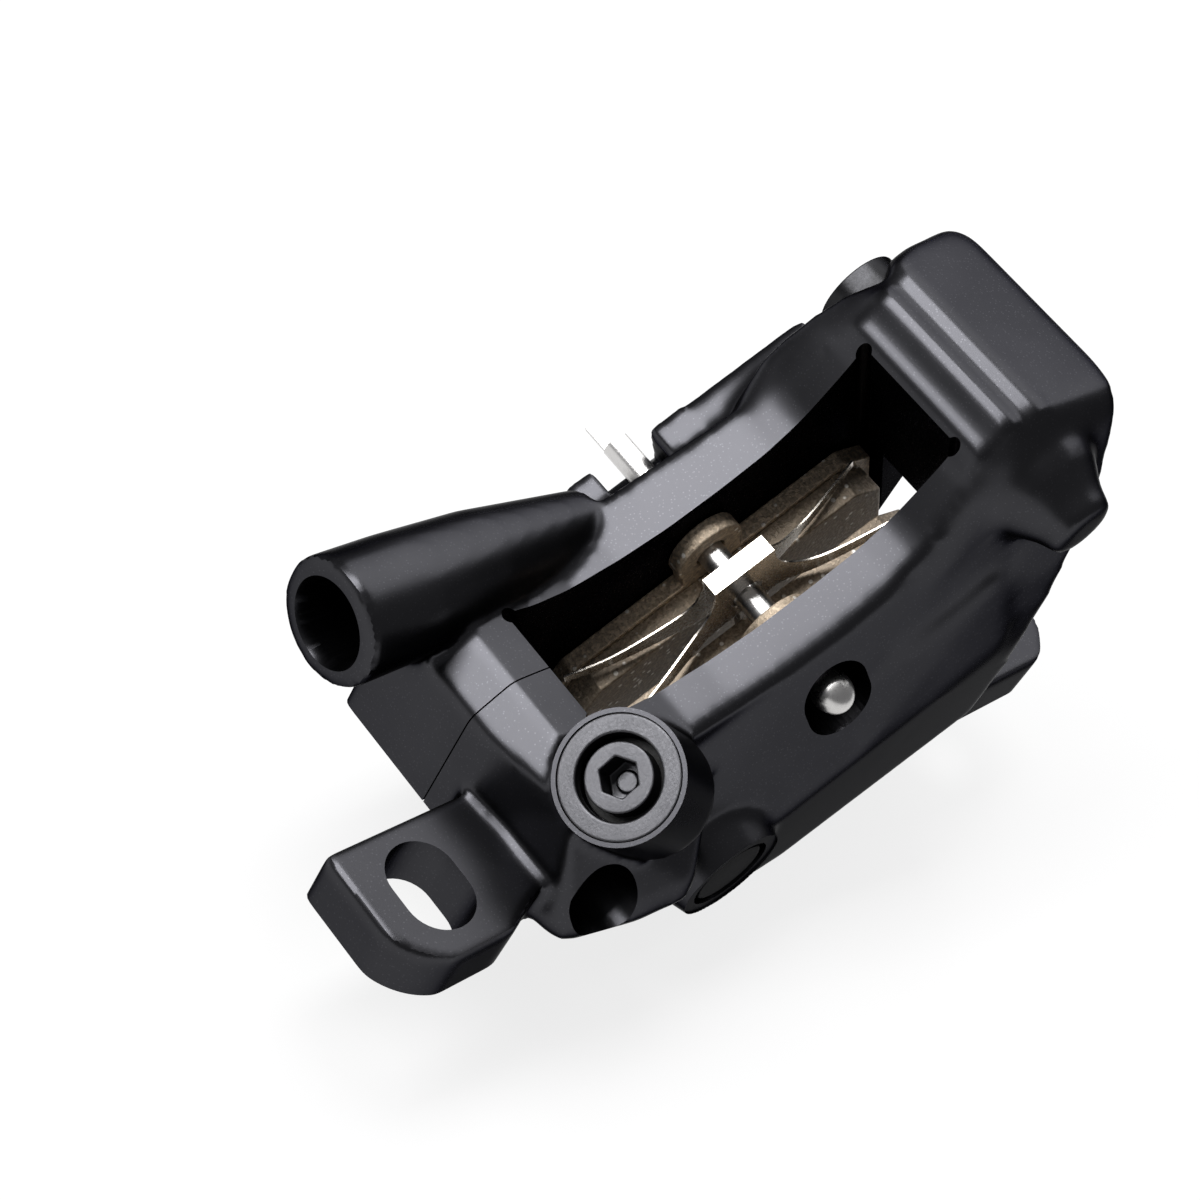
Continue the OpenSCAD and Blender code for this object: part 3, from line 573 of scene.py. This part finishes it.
class Finish:
    """A material made of nodes, on the piece's own coordinates."""

    def __init__(self, name):
        self.material = bpy.data.materials.new(name)
        self.material.use_nodes = True
        self.tree = self.material.node_tree
        self.tree.nodes.clear()
        self.place = self.node("ShaderNodeTexCoord").outputs["Object"]

    def node(self, kind, settings=(), inputs=()):
        made = self.tree.nodes.new(kind)
        for key, value in dict(settings).items():
            setattr(made, key, value)
        for key, value in dict(inputs).items():
            self.feed(made.inputs[key], value)
        return made

    def feed(self, slot, value):
        if isinstance(value, Signal):
            value = value.socket
        if isinstance(value, bpy.types.NodeSocket):
            self.tree.links.new(value, slot)
        elif hasattr(slot.default_value, "__len__") and len(slot.default_value) == 4 and len(value) == 3:
            slot.default_value = (*value, 1)
        else:
            slot.default_value = value

    def noise(self, size_mm, detail, rough):
        made = self.node("ShaderNodeTexNoise", {"noise_dimensions": "3D"}, {
            "Vector": self.place, "Scale": 1 / (size_mm * MM), "Detail": detail, "Roughness": rough})
        return Signal(self.tree, made.outputs["Fac"])

    def specks(self, size_mm):
        """The distance to the nearest of many scattered points."""
        made = self.node("ShaderNodeTexVoronoi", {"feature": "F1"}, {
            "Vector": self.place, "Scale": 1 / (size_mm * MM)})
        return Signal(self.tree, made.outputs["Distance"])

    def between(self, signal, low, high, out_low=0.0, out_high=1.0):
        """A signal's values from low to high, spread over out_low to out_high and held at both ends."""
        made = self.node("ShaderNodeMapRange", {"clamp": True}, {
            "Value": signal, "From Min": low, "From Max": high, "To Min": out_low, "To Max": out_high})
        return Signal(self.tree, made.outputs["Result"])

    def mix(self, share, first, second):
        made = self.node("ShaderNodeMix", {"data_type": "RGBA"})
        for slot, value in zip([s for s in made.inputs if s.enabled], (share, first, second)):
            self.feed(slot, value)
        return [s for s in made.outputs if s.enabled][0]

    def relief(self, height, depth_mm, edge_mm, strength):
        """A bump on top of edges that look rounded by edge_mm."""
        inputs = {"Height": height, "Distance": depth_mm * MM, "Strength": strength}
        if edge_mm:
            inputs["Normal"] = self.node("ShaderNodeBevel", {"samples": 6}, {"Radius": edge_mm * MM}).outputs[0]
        return self.node("ShaderNodeBump", {}, inputs).outputs[0]

    def surface(self, **inputs):
        shader = self.node("ShaderNodeBsdfPrincipled", {}, {key.replace("_", " "): v for key, v in inputs.items()})
        self.node("ShaderNodeOutputMaterial", {}, {"Surface": shader.outputs[0]})
        return self.material


def body_finish(colours):
    """Satin black: a fine grain with a faint sparkle, a touch lighter in soft clouds."""
    made = Finish("satin_black")
    grain = made.noise(0.34, 3, 0.6)
    clouds = made.noise(9, 3, 0.5)
    flakes = made.between(made.specks(0.34), 0.08, 0.24, 1, 0)
    colour = made.mix(made.between(clouds, 0.35, 0.65), colours.body, [c * 1.15 for c in colours.body])
    colour = made.mix(flakes * 0.5, colour, [c * 2.2 for c in colours.body])
    rough = made.between(clouds, 0.3, 0.7, 0.28, 0.32)
    return made.surface(Base_Color=colour, Metallic=1.0, Roughness=rough, Specular_Tint=(0.3, 0.3, 0.3),
                        Normal=made.relief(grain, 0.003, 0, 0.5))


def plain_finish(name, colour, tint, rough, metal=0.0, grain_mm=0.2, depth_mm=0.01, edge_mm=0.12, glance=1.0):
    """One colour that drifts into a tint, with a fine grain. glance is the strength of grazing reflections."""
    made = Finish(name)
    grain = made.noise(grain_mm, 3, 0.6)
    clouds = made.noise(grain_mm * 12, 2, 0.5)
    mixed = made.mix(made.between(clouds, 0.35, 0.65), colour, tint)
    return made.surface(Base_Color=mixed, Roughness=made.between(grain, 0.3, 0.7, rough * 0.85, rough * 1.15),
                        Metallic=metal, Specular_Tint=(glance,) * 3,
                        Normal=made.relief(grain, depth_mm, edge_mm, 0.4))


def pad_finish(name, colours, dark):
    """Pressed brown pad stuff with pale chips."""
    made = Finish(name)
    base = [c * dark for c in colours.pads]
    grain = made.noise(0.3, 3, 0.7)
    fibres = made.between(made.noise(0.4, 1, 0.5), 0.52, 0.6)
    chips = made.between(made.specks(1.3), 0.14, 0.2, 1, 0)
    colour = made.mix(made.between(grain, 0.3, 0.7), [c * 0.55 for c in base], [c * 1.45 for c in base])
    colour = made.mix(fibres * 0.45, colour, [c * 2 for c in base])
    colour = made.mix(chips, colour, (0.8, 0.76, 0.7))
    return made.surface(Base_Color=colour, Roughness=made.between(grain, 0.3, 0.7, 0.42, 0.6), Metallic=0.45,
                        Normal=made.relief(grain + chips * 0.5 + fibres * 0.5, 0.06, 0.15, 0.7))


# ---------------------------------------------------------------- settings and steps

class CaliperSizes(bpy.types.PropertyGroup):
    voxel: bpy.props.FloatProperty(name="Skin mesh", description="Mesh size of the cast skin", default=0.00045,
                                   min=0.0003, max=0.001, precision=5, unit="LENGTH")
    passes: bpy.props.IntProperty(name="Rounding", description="Rounding passes over the cast skin", default=4,
                                  min=0, max=40)
    edge: bpy.props.FloatProperty(name="Edge break", description="Width of the broken edges of the turned parts",
                                  default=0.00018, min=0, max=0.0005, precision=5, unit="LENGTH")


class CaliperColours(bpy.types.PropertyGroup):
    body: bpy.props.FloatVectorProperty(name="Body", description="Colour of the cast halves", subtype="COLOR",
                                        size=3, default=(0.04, 0.04, 0.044))
    pads: bpy.props.FloatVectorProperty(name="Pads", description="Colour of the pads", subtype="COLOR", size=3,
                                        default=(0.36, 0.29, 0.215))
    ring: bpy.props.FloatVectorProperty(name="Bleed ring", description="Colour of the ring and the bleed screw",
                                        subtype="COLOR", size=3, default=(0.068, 0.068, 0.073))


def settings():
    return bpy.context.scene.caliper_sizes, bpy.context.scene.caliper_colours


class BuildHalves(bpy.types.Operator):
    """Build the outboard and the inboard half of the body"""
    bl_idname = "caliper.halves"
    bl_label = "Body halves"

    def execute(self, context):
        sizes, colours = settings()
        finish = body_finish(colours)
        voxel = sizes.voxel / MM
        skin = body_skin(voxel, sizes.passes)
        for side, cutters in (("outboard", outboard_cutters()), ("inboard", inboard_cutters())):
            half = bpy.data.objects.new("body_" + side, skin.data.copy())
            context.scene.collection.objects.link(half)
            machine(half, cutters)
            dress(half, finish, (side + "_half",))
        bpy.data.objects.remove(skin)
        return {"FINISHED"}


class BuildPads(bpy.types.Operator):
    """Build the backing plates and the friction blocks"""
    bl_idname = "caliper.pads"
    bl_label = "Pads"

    def execute(self, context):
        sizes, colours = settings()
        edge = sizes.edge / MM
        plate = pad_finish("pressed_plate", colours, 1.0)
        friction = pad_finish("friction_mix", colours, 0.7)
        for side in ("outboard", "inboard"):
            eased(f"plate_{side}", f"backing_{side}", edge, plate)
            eased(f"friction_{side}", f"lining_{side}", edge, friction)
        return {"FINISHED"}


class BuildSteel(bpy.types.Operator):
    """Build the pad pin and the pad spring"""
    bl_idname = "caliper.steel"
    bl_label = "Pin and spring"

    def execute(self, context):
        steel = plain_finish("brushed_pin", (0.62, 0.61, 0.6), (0.55, 0.54, 0.53), 0.3, metal=1.0,
                             grain_mm=0.3, depth_mm=0.003, edge_mm=0.08)
        sheet = plain_finish("spring_sheet", (0.7, 0.65, 0.58), (0.6, 0.56, 0.5), 0.26, metal=1.0,
                             grain_mm=0.25, depth_mm=0.003, edge_mm=0.06)
        pin = Shape().across(0, 0, -3.4, 27.3, PIN_R).object("pin")
        head = Shape().ball(in_row3(0, -3.5, 0), 1.9, (1, 1.15, 1)).object("head")
        tongue = Shape().block((-1.2, 26.9, -0.4), (1.2, 30.3, 0.4), TILTED).object("tongue")
        machine(pin, [head, tongue], "UNION")
        dress(pin, steel, ("pad_pin",), crease=40)
        spring = bent_spring()
        dress(spring, sheet, ("pad_spring",), crease=40)
        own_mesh(spring)
        return {"FINISHED"}


def eased_curve(points):
    """Points on a smooth curve through the given ones."""
    steps = 6
    ends = [points[0]] + list(points) + [points[-1]]
    made = []
    for a, b, c, d in zip(ends, ends[1:], ends[2:], ends[3:]):
        a, b, c, d = Vector(a), Vector(b), Vector(c), Vector(d)
        for t in (i / steps for i in range(steps)):
            made.append(b + (c - a) * (t / 2) + (a * 2 - b * 5 + c * 4 - d) * (t * t / 2)
                        + (b * 3 - a - c * 3 + d) * (t ** 3 / 2))
    return made + [Vector(points[-1])]


def bent_spring():
    """One sheet: a flat bridge over the pin, two cheeks beside it and four arms against the plates."""
    form = Shape()
    bridge = []
    for arms in SPRING:
        near, far = (eased_curve([(u, y, top, low) for u, y, top, low in arm]) for arm in arms)
        line = near[::-1] + far
        tops = [form.bm.verts.new(in_row3(u, y, top)) for u, y, top, low in line]
        edges = [form.bm.edges.new(pair) for pair in zip(tops, tops[1:])]
        lows = {tuple(v.co): in_row3(u, y, low) for v, (u, y, top, low) in zip(tops, line)}
        grown = bmesh.ops.extrude_edge_only(form.bm, edges=edges)["geom"]
        for vert in (g for g in grown if isinstance(g, bmesh.types.BMVert)):
            vert.co = lows[tuple(vert.co)]
        bridge.append(edges[len(near) - 1])
    bmesh.ops.contextual_create(form.bm, geom=bridge)
    spring = form.object("spring")
    sheet = spring.modifiers.new("sheet", "SOLIDIFY")
    sheet.thickness = SHEET_T
    sheet.offset = 0
    settle(spring)
    machine(spring, cut_across(("pin way", 0, 0, 5, 13, PIN_R + 0.4)))
    return spring


class BuildFittings(bpy.types.Operator):
    """Build the bleed screw, its ring, the plug, the bolts, the pistons and every seal"""
    bl_idname = "caliper.fittings"
    bl_label = "Fittings"

    def execute(self, context):
        sizes, colours = settings()
        edge = sizes.edge / MM
        grey = plain_finish("bleed_grey", colours.ring, [c * 1.15 for c in colours.ring], 0.36, metal=1.0,
                            depth_mm=0.02, edge_mm=0.2, glance=0.5)
        black = plain_finish("black_oxide", (0.02, 0.02, 0.021), (0.028, 0.028, 0.03), 0.3, metal=1.0, glance=0.2)
        gloss = plain_finish("gloss_black", (0.026, 0.026, 0.028), (0.03, 0.03, 0.033), 0.2, metal=1.0,
                             grain_mm=0.3, depth_mm=0.002, glance=0.3)
        rubber = plain_finish("rubber", (0.012, 0.012, 0.012), (0.02, 0.02, 0.02), 0.6)
        pale = plain_finish("piston_pale", (0.72, 0.7, 0.64), (0.78, 0.76, 0.7), 0.35)
        eased("bleed_ring", "bleed_collar", edge, grey)
        eased("bleed_screw", "bleed_bolt", edge, grey)
        eased("passage_plug", "plug", edge * 1.6, gloss)
        eased("body_bolts", "bolts", edge, black)
        for node in ("bleed_seal", "plug_seal", "crossover_seal", "seals_near", "seals_far"):
            eased(node, "soft_" + node, 0.06, rubber)
        for node in ("outboard_near", "outboard_far", "inboard_near", "inboard_far"):
            eased("piston_" + node, "cup_" + node, edge, pale)
        return {"FINISHED"}


# the studio in metres: the floor under the caliper, the lamps by name, direction, size, radiance and long side, and
# the camera that was fitted to the photograph
FLOOR_HALF, FLOOR_GAP = 8, 0.0002
LAMP_FAR = 0.6
LAMPS = (("key", (-0.37, 0.37, 0.85), (0.17, 0.8), 13, (1, 0, 0.4)),
         ("fill", (0.7, 0.33, 0.62), (0.6, 0.6), 2.3, (0, 0, 1)))
SURROUNDINGS = (0.22, 0.22, 0.225, 1)
LENS_MM = 73.332
CAMERA_AT = Vector((-0.150016, -0.056116, 0.154733))
CAMERA_TURN = Quaternion((0.878044, 0.274993, -0.298572, -0.253518))


class BuildStage(bpy.types.Operator):
    """Set the floor, the lamps, the surroundings and the camera"""
    bl_idname = "caliper.stage"
    bl_label = "Stage"

    def execute(self, context):
        scene = context.scene
        floor = Shape()
        bmesh.ops.create_grid(floor.bm, x_segments=1, y_segments=1, size=FLOOR_HALF,
                              matrix=Matrix.Translation((0, 0, cad_bounds[0][2] - FLOOR_GAP)))
        floor = floor.object("floor")
        floor.data.materials.append(floor_finish())
        for lamp in LAMPS:
            softbox(*lamp)
        world = bpy.data.worlds.new("surroundings")
        scene.world = world
        world.use_nodes = True
        world.node_tree.nodes["Background"].inputs["Color"].default_value = SURROUNDINGS
        camera = bpy.data.cameras.new("camera")
        camera.sensor_width = 36
        camera.lens = LENS_MM
        camera.clip_start = 0.01
        scene.camera = placed("camera", camera, CAMERA_AT, CAMERA_TURN)
        scene.view_settings.view_transform = "Standard"
        return {"FINISHED"}


def placed(name, data, at, turn):
    """A lamp or a camera in the scene."""
    holder = bpy.data.objects.new(name, data)
    holder.location = at
    holder.rotation_mode = "QUATERNION"
    holder.rotation_quaternion = turn
    bpy.context.scene.collection.objects.link(holder)
    return holder


def softbox(name, way, size, radiance, along):
    """A rectangular lamp that faces the caliper, its long side along a direction. Its power gives the radiance."""
    lamp = bpy.data.lights.new(name, "AREA")
    lamp.shape = "RECTANGLE"
    lamp.size, lamp.size_y = size
    lamp.energy = radiance * math.pi * size[0] * size[1]
    way = Vector(way).normalized()
    up = (Vector(along) - way * way.dot(Vector(along))).normalized()
    placed(name, lamp, way * LAMP_FAR, Matrix((up.cross(way), up, way)).transposed().to_quaternion())


def floor_finish():
    """White where the camera or a reflection sees it, with the caliper's shadow left in."""
    made = Finish("floor")
    path = made.node("ShaderNodeLightPath")
    seen = Signal(made.tree, path.outputs["Is Camera Ray"]) + Signal(made.tree, path.outputs["Is Glossy Ray"]) \
        + Signal(made.tree, path.outputs["Is Transmission Ray"])
    plain = made.node("ShaderNodeBsdfDiffuse", {}, {"Color": (0.8, 0.8, 0.8)})
    glow = made.node("ShaderNodeEmission", {}, {"Color": (1, 1, 1), "Strength": 1.0})
    both = made.node("ShaderNodeMixShader", {}, {0: made.between(seen, 0, 1, 0, 0.8), 1: plain.outputs[0],
                                                  2: glow.outputs[0]})
    made.node("ShaderNodeOutputMaterial", {}, {"Surface": both.outputs[0]})
    return made.material


class CaliperPanel(bpy.types.Panel):
    """Lists the sizes, the colours and the steps"""
    bl_idname = "VIEW3D_PT_caliper"
    bl_label = "Caliper"
    bl_space_type = "VIEW_3D"
    bl_region_type = "UI"
    bl_category = "Caliper"

    def draw(self, context):
        for group in settings():
            box = self.layout.box()
            for key in group.__annotations__:
                box.prop(group, key)
        for step in STEPS:
            self.layout.operator(step.bl_idname)


STEPS = (BuildHalves, BuildPads, BuildSteel, BuildFittings, BuildStage)
CLASSES = (CaliperSizes, CaliperColours, *STEPS, CaliperPanel)


def register():
    for item in CLASSES:
        bpy.utils.register_class(item)
    bpy.types.Scene.caliper_sizes = bpy.props.PointerProperty(type=CaliperSizes)
    bpy.types.Scene.caliper_colours = bpy.props.PointerProperty(type=CaliperColours)


def unregister():
    del bpy.types.Scene.caliper_colours
    del bpy.types.Scene.caliper_sizes
    for item in reversed(CLASSES):
        bpy.utils.unregister_class(item)


def main():
    register()
    bpy.ops.caliper.halves()
    bpy.ops.caliper.pads()
    bpy.ops.caliper.steel()
    bpy.ops.caliper.fittings()
    bpy.ops.caliper.stage()


if __name__ == "__main__":
    main()
